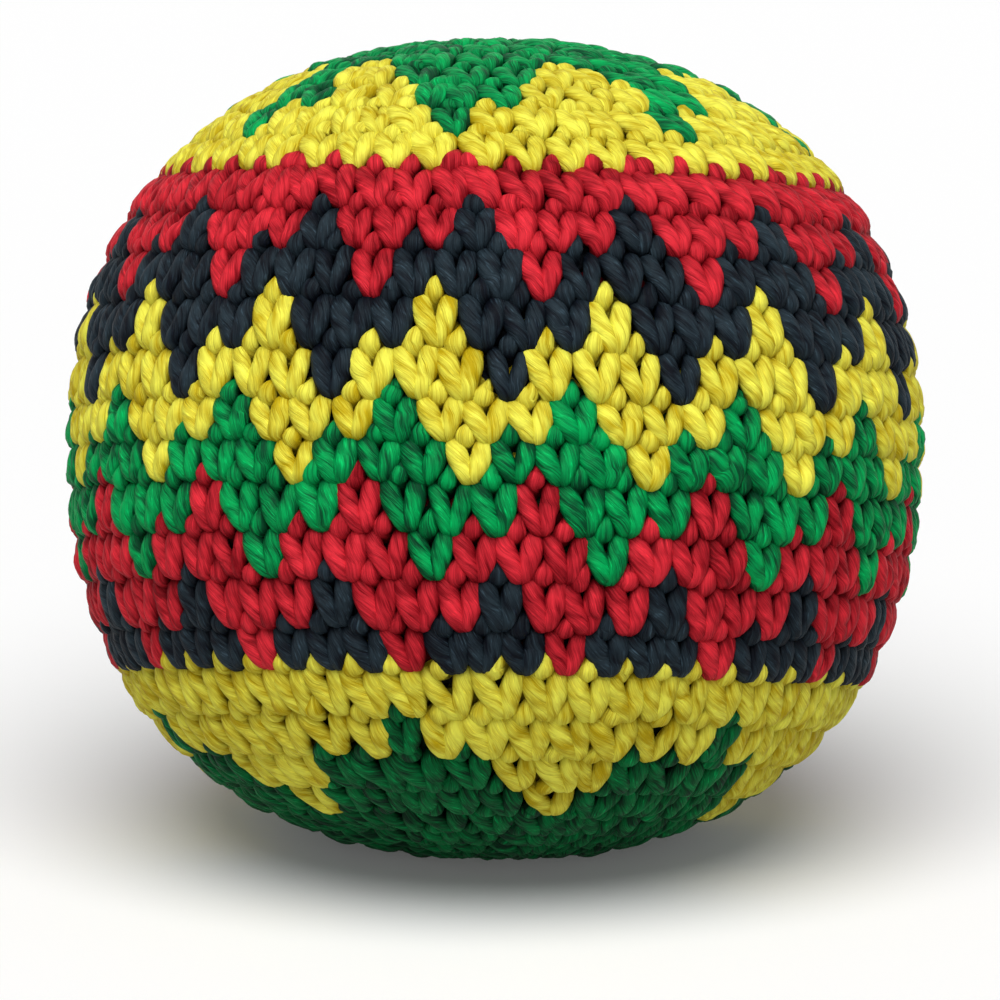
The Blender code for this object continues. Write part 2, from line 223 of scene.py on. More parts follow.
def roundEdges():
    # along the outline, where each round begins and the last one ends
    pole = chart["poleOpening"]
    beltLow = widestLength - chart["beltDrop"]
    baseShares = np.linspace(0, 1, chart["baseRounds"] + 1)[:-1] ** chart["baseGrowth"]
    beltEdges = beltLow + chart["beltRoundHeight"] * np.cumsum([0] + chart["beltHeightShares"])
    crownEdges = np.linspace(beltEdges[-1], wholeLength - pole, len(chart["crownCounts"]) + 1)
    return np.concatenate([pole + (beltLow - pole) * baseShares, beltEdges[:-1], crownEdges])


def listRounds():
    rounds = [baseRound(turn) for turn in range(1, chart["baseRounds"] + 1)]
    rounds += [beltRound(row) for row in range(chart["beltRounds"])]
    rounds += [crownRound(row) for row in range(len(chart["crownCounts"]))]
    edges = roundEdges()
    for ring, low, high in zip(rounds, edges, edges[1:]):
        ring["low"], ring["high"] = low, high
    return rounds


def turnTo(angle, start):
    return (angle - start + math.pi) % (2 * math.pi) - math.pi


def placeStitches(rounds):
    # each stitch stands in a hole of the round below; a skipped hole leaves two top loops side by side
    for ring in rounds:
        count = len(ring["zones"])
        ring["width"] = 2 * math.pi / count
        ring["foot"] = ring["start"] + np.arange(count) * ring["width"]
    for ring, above in zip(rounds, rounds[1:]):
        ring["top"], ring["left"], ring["right"] = settleTops(ring, above)
    last = rounds[-1]
    last["top"] = last["foot"] + (last["lean"] - 0.5) * last["width"]
    last["left"] = last["top"] - last["width"] / 2
    last["right"] = last["top"] + last["width"] / 2
    return rounds


def settleTops(ring, above):
    # draws the round above to its holes, and gives this round's top loops and the holes beside them
    count = len(ring["zones"])
    holes = ring["foot"] + ring["lean"] * ring["width"]  # hole i lies right of top loop i
    wanted = above["foot"] + chart["skipShare"] * above["width"]
    nearest = np.abs(turnTo(holes[None, :], wanted[:, None])).argmin(1)
    above["foot"] = above["foot"] + chart["holePull"] * turnTo(holes[nearest], above["foot"])
    settled = np.full(count, np.nan)
    for hole in range(count):
        users = np.flatnonzero(nearest == hole)
        if len(users):
            settled[hole] = holes[hole] + turnTo(above["foot"][users], holes[hole]).mean()
    used = np.flatnonzero(~np.isnan(settled))
    top = np.zeros(count)
    for place, hole in enumerate(used):
        following = used[(place + 1) % len(used)]
        shared = (following - hole - 1) % count + 1  # top loops in this gap
        gap = turnTo(settled[following], settled[hole])
        for i in range(shared):
            share = 0.5 + (i - (shared - 1) / 2) * chart["loopSpacing"]
            top[(hole + 1 + i) % count] = settled[hole] + gap * share
    for hole in np.flatnonzero(np.isnan(settled)):
        here = top[hole]
        settled[hole] = here + turnTo(top[(hole + 1) % count], here) / 2
    return top, np.roll(settled, 1), settled


# Yarn

yarn = {
    "sides": 12,
    "placeJitter": 0.012,  # of a stitch
    "depthJitter": 0.05e-3,
    "thicknessJitter": 0.07,
    "stitchJitter": 0.05,
    "heightJitterShare": 0.5,  # of the stitch's own jitter
    "streakLength": 0.0036,
    "streakStart": 1900,  # streak lengths over which strands begin
    "shadeStart": -0.08e-3,  # depth where painted shade begins, just above the outline
    "shadeDepth": 1.0e-3,  # from there to where it is full
    "hiddenDepth": 1.3e-3,  # strands deeper than this stay there
    "evenDepth": 0.5e-3,  # that a flatter relief draws the others to
    "leastLength": 1e-9,  # keeps a division by a length safe
}

# One stitch as the strand runs: across its width from its middle and up its round, both as shares,
# then depth under the ball's outline, half width and half thickness in mm, and steps to the next point.
leftArm = [
    (-0.02, 0.04, 1.50, 0.36, 0.38, 1),
    (-0.05, 0.08, 0.88, 0.44, 0.44, 2),
    (-0.10, 0.21, 0.44, 0.54, 0.52, 3),
    (-0.19, 0.43, 0.42, 0.64, 0.54, 3),
    (-0.27, 0.66, 0.50, 0.68, 0.53, 2),
    (-0.33, 0.90, 0.70, 0.62, 0.48, 2),
    (-0.37, 1.10, 1.40, 0.42, 0.40, 1),
]
topLoop = [
    (-0.05, 0.82, 1.50, 0.36, 0.36, 1),
    (-0.08, 0.92, 1.08, 0.50, 0.42, 2),
    (-0.08, 1.02, 0.70, 0.61, 0.48, 2),
    (-0.05, 1.13, 0.52, 0.68, 0.52, 3),
    (0.00, 1.26, 0.57, 0.53, 0.46, 2),
    (0.05, 1.40, 0.80, 0.32, 0.36, 2),
    (0.08, 1.50, 1.42, 0.20, 0.28, 1),
]
behindLoop = [(-0.14, 0.82, 1.42, 0.72, 0.36, 1)]
behindTop = [(0.24, 1.18, 1.42, 0.70, 0.36, 1), (0.16, 0.92, 1.42, 0.70, 0.36, 1)]
behindFoot = [(0.50, 0.42, 1.42, 0.70, 0.36, 1)]


def mirrored(arm):
    # the other arm, run the other way
    steps = [point[5] for point in arm]
    steps = steps[-2::-1] + [1]
    return [(-p[0], *p[1:5], s) for p, s in zip(arm[::-1], steps)]


stitchPath = leftArm + behindLoop + topLoop + behindTop + mirrored(leftArm) + behindFoot
carriedPath = [(-0.25, 0.3, 1.5, 0.45, 0.36, 1), (0.25, 0.7, 1.5, 0.45, 0.36, 1)]  # behind other colours


def strandPoints(ring, zone):
    # one colour's strand once round: angle, length, depth, half width, half thickness and tone
    rows, steps = [], []
    rise = ring["high"] - ring["low"]
    for stitch, stitchZone in enumerate(ring["zones"]):
        path = np.array(stitchPath if stitchZone == zone else carriedPath, float)
        count = len(path)
        x = path[:, 0] + dice.normal(0, yarn["placeJitter"], count)
        y = path[:, 1] + dice.normal(0, yarn["placeJitter"], count)
        size = 1 + dice.normal(0, yarn["thicknessJitter"])
        sideways, upwards = dice.normal(0, yarn["stitchJitter"], 2)
        foot = ring["foot"][stitch]
        top = turnTo(ring["top"][stitch], foot)
        left = turnTo(ring["left"][stitch], foot) - top
        right = turnTo(ring["right"][stitch], foot) - top
        high = np.clip(y, 0, 1)
        x = x + sideways * high
        reach = np.where(x < 0, -left, right) * 2 * x
        angle = foot + (1 - high) * x * ring["width"] + high * (top + reach)
        length = ring["low"] + rise * (y + upwards * yarn["heightJitterShare"])
        depth = path[:, 2] * millimetre
        flatter = yarn["evenDepth"] + (depth - yarn["evenDepth"]) * ring["relief"]
        depth = np.where(depth < yarn["hiddenDepth"], flatter, depth)
        depth = depth + dice.normal(0, yarn["depthJitter"], count)
        halfWidth, halfThickness = path[:, 3:5].T * millimetre * size
        tone = np.full(count, dice.random())
        rows.append(np.column_stack([angle, length, depth, halfWidth, halfThickness, tone]))
        steps.append(path[:, 5].astype(int))
    rows = np.concatenate(rows)
    rows[:, 0] = np.unwrap(rows[:, 0])
    steps = np.concatenate(steps)
    steps[-1] = 0
    return rows, steps


def smoothSteps(points, steps):
    # Catmull-Rom through the control points, with the given number of steps after each
    before = np.vstack([2 * points[:1] - points[1:2], points[:-1]])
    after = np.vstack([points[1:], 2 * points[-1:] - points[-2:-1]])
    further = np.vstack([after[1:], after[-1:]])
    index = np.repeat(np.arange(len(points)), np.maximum(steps, 1))
    t = np.concatenate([np.arange(max(s, 1)) / max(s, 1) for s in steps])[:, None]
    p0, p1, p2, p3 = before[index], points[index], after[index], further[index]
    return 0.5 * (2 * p1 + (p2 - p0) * t + (2 * p0 - 5 * p1 + 4 * p2 - p3) * t ** 2
                  + (3 * p1 - p0 - 3 * p2 + p3) * t ** 3)


sideTurns = 2 * math.pi * np.arange(yarn["sides"]) / yarn["sides"]


def ringsAround(centre, normal, halfWidth, halfThickness):
    # rings of points round a strand, and how far along it each ring is
    along = np.gradient(centre, axis=0)
    along /= np.linalg.norm(along, axis=1)[:, None]
    side = np.cross(normal, along)
    side /= np.maximum(np.linalg.norm(side, axis=1)[:, None], yarn["leastLength"])
    up = np.cross(along, side)
    across = np.sin(sideTurns)[None, :, None] * (side * halfWidth[:, None])[:, None, :]
    through = -np.cos(sideTurns)[None, :, None] * (up * halfThickness[:, None])[:, None, :]
    walked = np.concatenate([[0], np.cumsum(np.linalg.norm(np.diff(centre, axis=0), axis=1))])
    return centre[:, None, :] + across + through, walked


def coverRings(line):
    # a cover strand given as angle, length, depth, half width, half thickness and tone
    angle, length, depth, halfWidth, halfThickness, tone = line.T
    centre = onBall(angle, length, depth)
    rings, walked = ringsAround(centre, outwards(angle, length), halfWidth, halfThickness)
    # how deep each point lies under the outline, which sets its painted shade
    sunk = depth[:, None] + np.cos(sideTurns)[None, :] * halfThickness[:, None]
    return pressOnFloor(rings), walked, tone, sunk


def gridSides(ringCount, sides, along, first=0):
    # quads between rings of corners, and how far round and along each of their corners is
    ring, side = np.meshgrid(np.arange(ringCount - 1), np.arange(sides), indexing="ij")
    after = (side + 1) % sides
    here = first + ring * sides
    there = here + sides
    faces = np.stack([here + side, here + after, there + after, there + side], -1)
    u = np.stack([side, side + 1, side + 1, side], -1) / sides
    v = np.stack([along[ring], along[ring], along[ring + 1], along[ring + 1]], -1)
    return faces.reshape(-1, 4), np.stack([u.reshape(-1), v.reshape(-1)], -1)


def meshFrom(name, corners, faces, ends, uvName, uv, tones):
    # faces all have as many corners, and ends are the few faces that close the shape
    mesh = bpy.data.meshes.new(name)
    mesh.vertices.add(len(corners))
    mesh.vertices.foreach_set("co", corners.ravel())
    loops = np.concatenate([faces.ravel(), *ends]).astype(int)
    sizes = np.full(len(faces), faces.shape[1])
    sizes = np.concatenate([sizes, [len(end) for end in ends]]).astype(int)
    mesh.loops.add(len(loops))
    mesh.loops.foreach_set("vertex_index", loops)
    mesh.polygons.add(len(sizes))
    mesh.polygons.foreach_set("loop_start", np.concatenate([[0], np.cumsum(sizes)[:-1]]))
    mesh.update(calc_edges=True)
    endUv = np.zeros((len(loops) - len(uv), 2))
    mesh.uv_layers.new(name=uvName).data.foreach_set("uv", np.vstack([uv, endUv]).ravel())
    mesh.attributes.new("tone", "FLOAT", "POINT").data.foreach_set("value", tones)
    mesh.shade_smooth()
    return mesh


def tubeMesh(name, tubes):
    # tubes are rings of points, lengths along the strand, tones and depths
    sides = yarn["sides"]
    corners, faces, ends, uv, tones, depths = [], [], [], [], [], []
    first = 0
    for rings, walked, tone, sunk in tubes:
        along = walked / yarn["streakLength"] + dice.random() * yarn["streakStart"]
        tubeFaces, tubeUv = gridSides(len(rings), sides, along, first)
        last = first + (len(rings) - 1) * sides
        corners.append(rings.reshape(-1, 3))
        faces.append(tubeFaces)
        uv.append(tubeUv)
        tones.append(np.repeat(tone, sides))
        depths.append(sunk.ravel())
        ends.append(np.arange(first + sides - 1, first - 1, -1))
        ends.append(np.arange(last, last + sides))
        first = last + sides
    corners, faces, uv, tones, depths = map(np.concatenate, (corners, faces, uv, tones, depths))
    mesh = meshFrom(name, corners, faces, ends, "Strand", uv, tones)
    # painted shade: the deeper a point lies, the darker its colour is painted
    shade = np.clip((depths - yarn["shadeStart"]) / yarn["shadeDepth"], 0, 1)
    mesh.attributes.new("shade", "FLOAT", "POINT").data.foreach_set("value", shade)
    return mesh


# Nodes that the materials share

colourSocket = "NodeSocketColor"
valueSocket = "NodeSocketFloat"
mixSockets = {"first": 6, "second": 7, "result": 2}  # of a Mix node, for colours


def addNode(tree, kind, **values):
    node = tree.nodes.new(kind)
    for key, value in values.items():
        setattr(node, key, value)
    return node


def mathNode(tree, operation, *inputs):
    node = addNode(tree, "ShaderNodeMath", operation=operation)
    for place, value in enumerate(inputs):
        if isinstance(value, (int, float)):
            node.inputs[place].default_value = value
        else:
            tree.links.new(value, node.inputs[place])
    return node.outputs[0]


def noiseNode(tree, place, scale, detail):
    noise = addNode(tree, "ShaderNodeTexNoise")
    noise.inputs["Scale"].default_value = scale
    noise.inputs["Detail"].default_value = detail
    tree.links.new(place, noise.inputs["Vector"])
    return noise.outputs["Fac"]


def mixColours(tree, factor, first, second):
    blend = addNode(tree, "ShaderNodeMix", data_type="RGBA", clamp_factor=True)
    tree.links.new(factor, blend.inputs["Factor"])
    tree.links.new(first, blend.inputs[mixSockets["first"]])
    tree.links.new(second, blend.inputs[mixSockets["second"]])
    return blend.outputs[mixSockets["result"]]


def uvPlace(tree, uvName):
    # the place on a surface, whole and as its two parts
    place = addNode(tree, "ShaderNodeUVMap", uv_map=uvName).outputs[0]
    parts = addNode(tree, "ShaderNodeSeparateXYZ")
    tree.links.new(place, parts.inputs[0])
    return place, parts.outputs[0], parts.outputs[1]


def newGroup(name, inputs, outputs):
    # inputs are starting values by name, where a colour has four, and outputs are kinds by name
    tree = bpy.data.node_groups.new(name, "ShaderNodeTree")
    for key, value in inputs.items():
        kind = colourSocket if isinstance(value, tuple) else valueSocket
        made = tree.interface.new_socket(name=key, in_out="INPUT", socket_type=kind)
        made.default_value = value
    for key, kind in outputs.items():
        tree.interface.new_socket(name=key, in_out="OUTPUT", socket_type=kind)
    return tree, addNode(tree, "NodeGroupInput").outputs, addNode(tree, "NodeGroupOutput").inputs


def plainMaterial(name):
    material = bpy.data.materials.new(name)
    material.use_nodes = True
    return material, material.node_tree, material.node_tree.nodes["Principled BSDF"]


def groupMaterial(name, group, bumps, looks=None):
    # a group's colour, roughness and height on a Principled shader; bumps are strength and distance
    material, tree, shader = plainMaterial(name)
    effect = addNode(tree, "ShaderNodeGroup", node_tree=group)
    for key, value in (looks or {}).items():
        effect.inputs[key].default_value = value
    bump = addNode(tree, "ShaderNodeBump")
    bump.inputs["Strength"].default_value, bump.inputs["Distance"].default_value = bumps
    tree.links.new(effect.outputs["Height"], bump.inputs["Height"])
    tree.links.new(effect.outputs["Colour"], shader.inputs["Base Color"])
    tree.links.new(bump.outputs["Normal"], shader.inputs["Normal"])
    if "Roughness" in effect.outputs:
        tree.links.new(effect.outputs["Roughness"], shader.inputs["Roughness"])
    return material, shader


# Plied yarn with streaks of fibres, painted shade and painted glints

strand = {
    "plies": 6,
    "plyRoundness": 0.45,  # below 1, ridges are broad and the grooves between them narrow
    "twist": 0.6,  # turns of the plies in a streak length
    "wander": 0.16,  # how unevenly they turn
    "wanderScale": 1.1,
    "wanderDetail": 2,
    "fineStreaks": (64, 3.4, 2),  # times round the strand, times in a streak length, and detail
    "broadStreaks": (19, 2.4, 1),
    "patches": (4.5, 2.6, 1),
    "sparkles": (34, 7, 1),
    "fineShare": 0.6,
    "broadShare": 0.4,
    "stitchTone": 0.3,  # how much one stitch differs from the next
    "ridgeMiddle": 0.8,  # lower on a ply the colour is darker, as painted shade in the grooves
    "startTone": 0.6,  # 0 is the deep colour, and 1 the light one
    # painted glints: where the sparkle noise passes glintStart the colour is lightened
    "glintStart": 0.58,
    "glintGain": 5,
    # how much the painted shade also dims the colour
    "paintedShadeDimming": 0.8,
    "fibreGloss": 0.5,
    "plyHeight": 0.4,
    "fibreHeight": 0.7,
    "bumps": (0.8, 0.00016),
    "specular": 0.08,
}


def strandGroup():
    tree, given, result = newGroup("twistedStrand", {
        # the deep colour is where darker streaks lead, and also the painted shade in grooves and deep
        # places
        "Light Colour": (0.8, 0.8, 0.8, 1),
        "Deep Colour": (0.4, 0.4, 0.4, 1),
        "Streaks": 0.5,
        "Groove": 0.3,
        "Smoothness": 0.5,
        "Painted Shade": 0.5,
        "Patches": 1,
        "Glints": 0.5,
    }, {"Colour": colourSocket, "Roughness": valueSocket, "Height": valueSocket})
    reckon = partial(mathNode, tree)
    place, u, v = uvPlace(tree, "Strand")
    wander = noiseNode(tree, place, strand["wanderScale"], strand["wanderDetail"])
    loose = reckon("MULTIPLY_ADD", wander, strand["wander"], u)
    twisted = reckon("MULTIPLY_ADD", v, strand["twist"], loose)

    def streaks(around, along, detail):
        spot = addNode(tree, "ShaderNodeCombineXYZ")
        tree.links.new(reckon("MULTIPLY", twisted, around), spot.inputs[0])
        tree.links.new(reckon("MULTIPLY", v, along), spot.inputs[1])
        return noiseNode(tree, spot.outputs[0], 1, detail)

    fine = streaks(*strand["fineStreaks"])
    broad = reckon("MULTIPLY", streaks(*strand["broadStreaks"]), strand["broadShare"])
    patch = reckon("SUBTRACT", streaks(*strand["patches"]), 0.5)
    # sparkle noise for the painted glints
    sparkle = reckon("SUBTRACT", streaks(*strand["sparkles"]), strand["glintStart"])
    fibres = reckon("MULTIPLY_ADD", fine, strand["fineShare"], broad)
    centred = reckon("SUBTRACT", fibres, 0.5)

    turn = reckon("MULTIPLY", twisted, math.pi * strand["plies"])
    wave = reckon("ABSOLUTE", reckon("SINE", turn))
    ridge = reckon("POWER", wave, strand["plyRoundness"])
    onRidge = reckon("SUBTRACT", ridge, strand["ridgeMiddle"])

    # painted shade: deep places move towards the deep colour and are dimmed
    tone = addNode(tree, "ShaderNodeAttribute", attribute_name="tone").outputs["Fac"]
    shade = addNode(tree, "ShaderNodeAttribute", attribute_name="shade").outputs["Fac"]
    shaded = reckon("MULTIPLY", shade, given["Painted Shade"])
    streaky = reckon("MULTIPLY", centred, given["Streaks"])
    toned = reckon("MULTIPLY_ADD", reckon("SUBTRACT", tone, middleTone), strand["stitchTone"], streaky)
    # painted shade in the grooves between plies
    grooved = reckon("MULTIPLY_ADD", onRidge, given["Groove"], toned)
    patched = reckon("MULTIPLY", patch, given["Patches"])
    lively = reckon("ADD", reckon("ADD", grooved, strand["startTone"]), patched)
    factor = reckon("SUBTRACT", lively, shaded)
    colour = mixColours(tree, factor, given["Deep Colour"], given["Light Colour"])

    # painted highlights: glints lighten the colour
    glint = reckon("MULTIPLY", reckon("MAXIMUM", sparkle, 0), strand["glintGain"])
    glinting = reckon("MULTIPLY_ADD", glint, given["Glints"], 1)
    dimmed = addNode(tree, "ShaderNodeVectorMath", operation="SCALE")
    tree.links.new(colour, dimmed.inputs[0])
    brightness = reckon("MULTIPLY_ADD", shaded, -strand["paintedShadeDimming"], glinting)
    tree.links.new(brightness, dimmed.inputs["Scale"])
    tree.links.new(dimmed.outputs[0], result["Colour"])

    rough = reckon("SUBTRACT", 1, given["Smoothness"])
    rough = reckon("MULTIPLY_ADD", centred, -strand["fibreGloss"], rough)
    tree.links.new(rough, result["Roughness"])
    fluff = reckon("MULTIPLY", fibres, strand["fibreHeight"])
    tree.links.new(reckon("MULTIPLY_ADD", ridge, strand["plyHeight"], fluff), result["Height"])
    return tree


strandEffect = strandGroup()

yarnLooks = {
    "green": {
        "Light Colour": (0.0, 0.42, 0.1, 1), "Deep Colour": (0.0, 0.06, 0.02, 1), "Streaks": 2.8,
        "Groove": 0.22, "Smoothness": 0.45, "Painted Shade": 0.85, "Patches": 2.4, "Glints": 0.9,
    },
    "yellow": {
        "Light Colour": (0.97, 0.93, 0.1, 1), "Deep Colour": (0.56, 0.4, 0.005, 1), "Streaks": 2.4,
        "Groove": 0.2, "Smoothness": 0.45, "Painted Shade": 0.45, "Patches": 2.2, "Glints": 0.3,
    },
    "red": {
        "Light Colour": (0.82, 0.03, 0.048, 1), "Deep Colour": (0.22, 0.002, 0.007, 1), "Streaks": 2.4,
        "Groove": 0.22, "Smoothness": 0.45, "Painted Shade": 0.78, "Patches": 1.8, "Glints": 0.4,
    },
    "black": {
        "Light Colour": (0.018, 0.031, 0.041, 1), "Deep Colour": (0.001, 0.002, 0.005, 1), "Streaks": 3,
        "Groove": 0.22, "Smoothness": 0.45, "Painted Shade": 0.6, "Patches": 2.4, "Glints": 2,
    },
    "shadyGreen": {  # the base: the green yarn darkened as painted shade, which the photograph shows darker than its own shade
        "Light Colour": (0.0, 0.185, 0.045, 1), "Deep Colour": (0.0, 0.02, 0.007, 1), "Streaks": 3.2,
        "Groove": 0.22, "Smoothness": 0.45, "Painted Shade": 0.7, "Patches": 2.4, "Glints": 1.6,
    },
}


def strandMaterial(name, looks):
    material, shader = groupMaterial(name, strandEffect, strand["bumps"], looks)
    shader.inputs["Specular IOR Level"].default_value = strand["specular"]
    return material


yarns = {name: strandMaterial(name + "Yarn", looks) for name, looks in yarnLooks.items()}


def addPiece(name, mesh, material, node):
    piece = bpy.data.objects.new(name, mesh)
    mesh.materials.append(material)
    bpy.context.collection.objects.link(piece)
    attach(piece, "root")
    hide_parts(node)
    return piece


def crochetCover():
    strands = {}
    for ring in placeStitches(listRounds()):
        for zone in sorted(set(ring["zones"])):
            points, steps = strandPoints(ring, zone)
            strands.setdefault(zone, []).append(smoothSteps(points, steps))
    for zone, lines in strands.items():
        colour = zone.rsplit("_", 1)[1]
        # the base takes the green yarn in painted shade
        material = yarns["shadyGreen" if zone == "bottom_crown_green" else colour]
        mesh = tubeMesh(zone + "_yarn", [coverRings(line) for line in lines])
        piece = addPiece(zone + "_yarn", mesh, material, zone)
        print("crocheted", zone, len(mesh.polygons), "faces")


crochetCover()

# Loops at the poles, and the tail that is drawn in under the top one

loops = {
    "coverThickness": 0.0018,
    "gap": 0.0003,
    "yarnWidth": 0.0009,
    "endShare": 0.55,  # of a strand's width, at its ends
    "overlap": math.radians(25),
    "tailRadius": 0.0085,
    "tailTurn": math.radians(200),
    "tailLead": 0.4,  # of the tail, before it lies on its circle
    "tailDrop": 0.08,  # of the tail, before it has left the hole
    "tailPoints": 90,
    "ringPoints": 60,
    "wander": 0.00004,
    "waves": 3,  # in which a loop wanders
    "wavePhase": 1,
}
innerTop = ball["crownRise"] - loops["coverThickness"]
middleOfCover = loops["coverThickness"] / 2
loopRadius = chart["poleOpening"] - loops["gap"] - loops["yarnWidth"] / 2


def freeTube(radius, angle, height, width):
    # a strand given from the ball's axis, its ends drawn together
    count = len(angle)
    centre = fromAxis(radius, angle, height)
    half = np.full(count, width / 2)
    half[[0, -1]] *= loops["endShare"]
    normal = np.repeat(leanRows[:, 2][None, :], count, 0)
    rings, walked = ringsAround(centre, normal, half, half)
    return rings, walked, np.full(count, middleTone), np.zeros(rings.shape[:2])


def loopTube(height):
    angle = np.linspace(0, 2 * math.pi + loops["overlap"], loops["ringPoints"])
    wave = loops["wander"] * np.sin(loops["waves"] * angle + loops["wavePhase"])
    return freeTube(loopRadius + wave, angle, height + wave, loops["yarnWidth"])


def eased(share):
    share = np.clip(share, 0, 1)
    return share * share * (3 - 2 * share)


def tailTube():
    shoulder, slopeFoot = pouchOutline()[1][:2]
    run = shoulder[0] - slopeFoot[0]
    rise = shoulder[1] - slopeFoot[1]
    pouchTop = slopeFoot[1] + rise * (loops["tailRadius"] - slopeFoot[0]) / run
    clearance = loops["gap"] + loops["yarnWidth"] / 2
    onPouch = pouchTop + clearance * math.hypot(run, rise) / run
    overNeck = innerTop - clearance
    underLoop = ball["crownRise"] - (loops["coverThickness"] + loops["yarnWidth"]) / 2 - loops["gap"]
    share = np.linspace(0, 1, loops["tailPoints"])
    out = eased(share / loops["tailLead"])
    sunk = eased(share / loops["tailDrop"])
    laid = eased((share - loops["tailDrop"]) / (loops["tailLead"] - loops["tailDrop"]))
    radius = loopRadius + (loops["tailRadius"] - loopRadius) * out
    height = underLoop + (overNeck - underLoop) * sunk + (onPouch - overNeck) * laid
    angle = loops["tailTurn"] * np.maximum(0, share - loops["tailDrop"])
    return freeTube(radius, angle, height, loops["yarnWidth"])


# Cloth pouch, gathered at its neck

pouch = {
    "wall": 0.0004,
    "shoulderRadius": 0.012,
    "neck": [  # radius, and drop from the inside of the cover's top
        (0.007, 0.0038),
        (0.0024, 0.0056),
        (0.0015, 0.0046),
        (0.0015, 0.0038),
        (0.0026, 0.0021),
    ],
    "sides": 192,
    "bodyRings": 64,
    "neckRings": 56,
    "folds": 17,
    "fewerFolds": 11,  # that run among them, to make them uneven
    "fewerShare": 0.5,
    "fewerPhase": 1.3,
    "foldMiddle": 0.6,  # above 0, folds sink in more than they stand out
    "foldRate": 3,  # they are full after a third of the neck
    "foldDepth": 0.00022,
    "frillStart": 0.75,  # of the neck
    "frillDepth": 0.00045,
    "threadsRound": 420,
    "threadPitch": 0.00038,
}
linerDepth = loops["coverThickness"] + loops["gap"]


def pouchOutline():
    # length along the ball's outline at the shoulder, then radius and height up over the neck
    high = outline["length"] > widestLength
    length = np.interp(-pouch["shoulderRadius"], -outline["radius"][high], outline["length"][high])
    radius, height = underOutline(length, linerDepth)
    return length, [(radius, height)] + [(r, innerTop - drop) for r, drop in pouch["neck"]]


def bodyRings(angle, shoulderLength, inside):
    depth = linerDepth + inside
    rings = []
    lengths = np.linspace(0, shoulderLength, pouch["bodyRings"] + 1)[1:]
    for length in lengths:
        radius, height = underOutline(length, depth)
        points = fromAxis(np.full(len(angle), radius), angle, height)
        rings.append(pressOnFloor(points, depth))
    return rings, lengths


def neckRings(angle, neck, inside):
    spans = len(neck) - 1
    line = smoothSteps(np.array(neck, float), [pouch["neckRings"] // spans] * spans + [0])
    along = np.gradient(line, axis=0)
    along /= np.linalg.norm(along, axis=1)[:, None]
    reach = np.concatenate([[0], np.cumsum(np.linalg.norm(np.diff(line, axis=0), axis=1))])
    share = reach / reach[-1]
    frill = (share - pouch["frillStart"]) / (1 - pouch["frillStart"])
    depth = pouch["foldDepth"] * eased(share * pouch["foldRate"]) + pouch["frillDepth"] * eased(frill)
    fold = np.sin(pouch["folds"] * angle)
    fold = fold + pouch["fewerShare"] * np.sin(pouch["fewerFolds"] * angle + pouch["fewerPhase"])
    rings = []
    for place in range(1, len(line)):
        out = depth[place] * (fold - pouch["foldMiddle"]) - inside
        # the cloth's outer face lies to the right of its way up
        radius = line[place, 0] + along[place, 1] * out
        height = line[place, 1] - along[place, 0] * out
        rings.append(fromAxis(radius, angle, height))
    return rings, reach[1:]


def clothRings(inside):
    # rings of points up one face of the cloth, inside by a distance, and how far up each is
    shoulderLength, neck = pouchOutline()
    angle = 2 * math.pi * np.arange(pouch["sides"]) / pouch["sides"]
    body, lengths = bodyRings(angle, shoulderLength, inside)
    top, reach = neckRings(angle, neck, inside)
    return body + top, np.concatenate([lengths, lengths[-1] + reach])


def pouchMesh():
    # up the outer face, over the rim and down the inner one
    sides = pouch["sides"]
    outer, walked = clothRings(0)
    inner = clothRings(pouch["wall"])[0]
    rings = outer + inner[::-1]
    corners = np.concatenate(rings)
    along = np.concatenate([walked, walked[::-1]]) / pouch["threadPitch"]
    faces, uv = gridSides(len(rings), sides, along)
    uv[:, 0] *= pouch["threadsRound"]
    last = (len(rings) - 1) * sides
    ends = [np.arange(sides)[::-1], np.arange(last, last + sides)]
    tones = np.full(len(corners), middleTone)
    return meshFrom("liner_pouch_cloth", corners, faces, ends, "Weave", uv, tones)


cloth = {
    "overShare": 0.25,  # how far a thread rises where it lies on top
    "wearScale": 0.11,
    "wearDetail": 3,
    "wearShare": 0.5,
    "leastColour": 0.75,
    "bumps": (0.8, 0.0001),
    "roughness": 0.9,
    "specular": 0.2,
}


def weaveGroup():
    tree, given, result = newGroup("plainWeave", {
        "Thread Colour": (0.05, 0.05, 0.055, 1),
        "Gap Colour": (0.012, 0.012, 0.014, 1),
    }, {"Colour": colourSocket, "Height": valueSocket})
    reckon = partial(mathNode, tree)
    place, u, v = uvPlace(tree, "Weave")
    across = reckon("MULTIPLY", u, math.pi)
    upwards = reckon("MULTIPLY", v, math.pi)
    warp = reckon("ABSOLUTE", reckon("SINE", across))
    weft = reckon("ABSOLUTE", reckon("SINE", upwards))
    over = reckon("MULTIPLY", reckon("COSINE", across), reckon("COSINE", upwards))
    side = reckon("MULTIPLY_ADD", over, cloth["overShare"], 0.5)
    lowered = reckon("MULTIPLY", weft, reckon("SUBTRACT", 1, side))
    height = reckon("ADD", reckon("MULTIPLY", warp, side), lowered)
    wear = noiseNode(tree, place, cloth["wearScale"], cloth["wearDetail"])
    worn = reckon("MULTIPLY_ADD", wear, cloth["wearShare"], cloth["leastColour"])
    factor = reckon("MULTIPLY", height, worn)
    colour = mixColours(tree, factor, given["Gap Colour"], given["Thread Colour"])
    tree.links.new(colour, result["Colour"])
    tree.links.new(height, result["Height"])
    return tree


def clothMaterial():
    material, shader = groupMaterial("plainCloth", weaveGroup(), cloth["bumps"])
    shader.inputs["Roughness"].default_value = cloth["roughness"]
    shader.inputs["Specular IOR Level"].default_value = cloth["specular"]
    return material


# Thread that ties the neck

